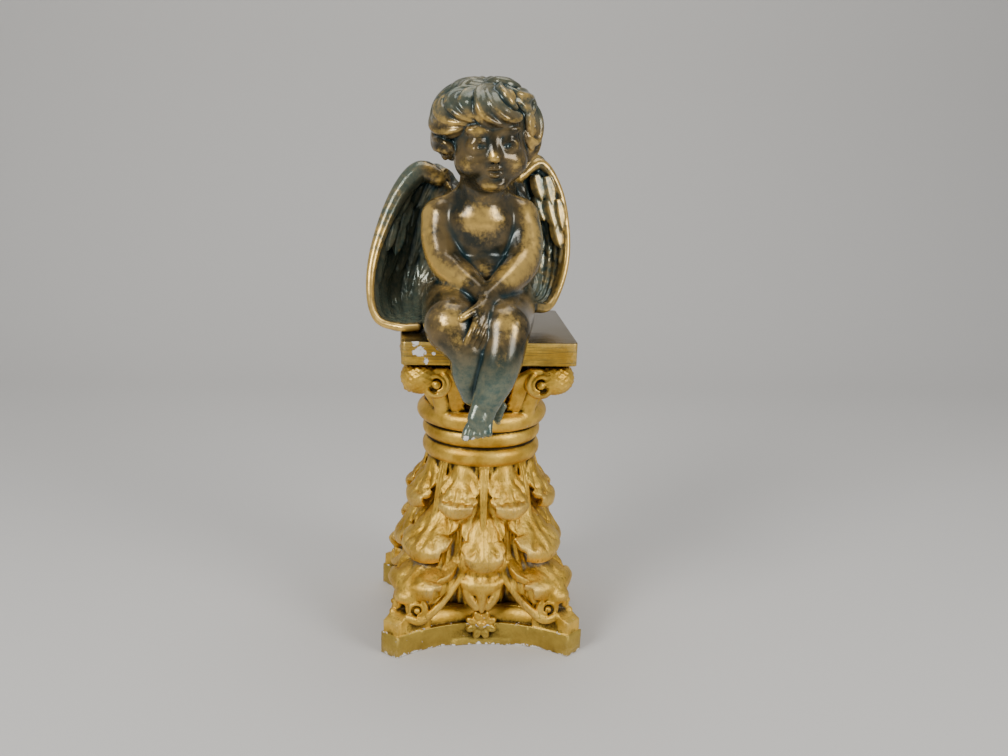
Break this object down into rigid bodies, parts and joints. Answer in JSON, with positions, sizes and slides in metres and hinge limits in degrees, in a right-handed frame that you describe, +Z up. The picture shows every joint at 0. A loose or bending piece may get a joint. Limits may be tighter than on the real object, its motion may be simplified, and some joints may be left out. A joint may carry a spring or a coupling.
{
  "type": "winged putto statue on pedestal",
  "caption": "Garden or mantel ornament: a winged putto seated with crossed ankles on a leafy scrolled pedestal, cast in plaster, bronzed and gilded.",
  "frame": {"origin": "middle of the pedestal's flat underside", "axes": "+Z up, +X to the putto's left, -Y the way the putto faces"},
  "size_m": [0.2742, 0.2979, 0.6978],
  "materials": {
    "bronzed_plaster": "glossy lacquered dark bronze and teal paint with rubbed gold on the raised places",
    "gilded_plaster": "satin gold paint with duller recesses, and bare white plaster at chips and edges"
  },
  "bodies": {
    "root": {"putto": "bronzed_plaster", "pedestal": "gilded_plaster"}
  },
  "joints": []
}
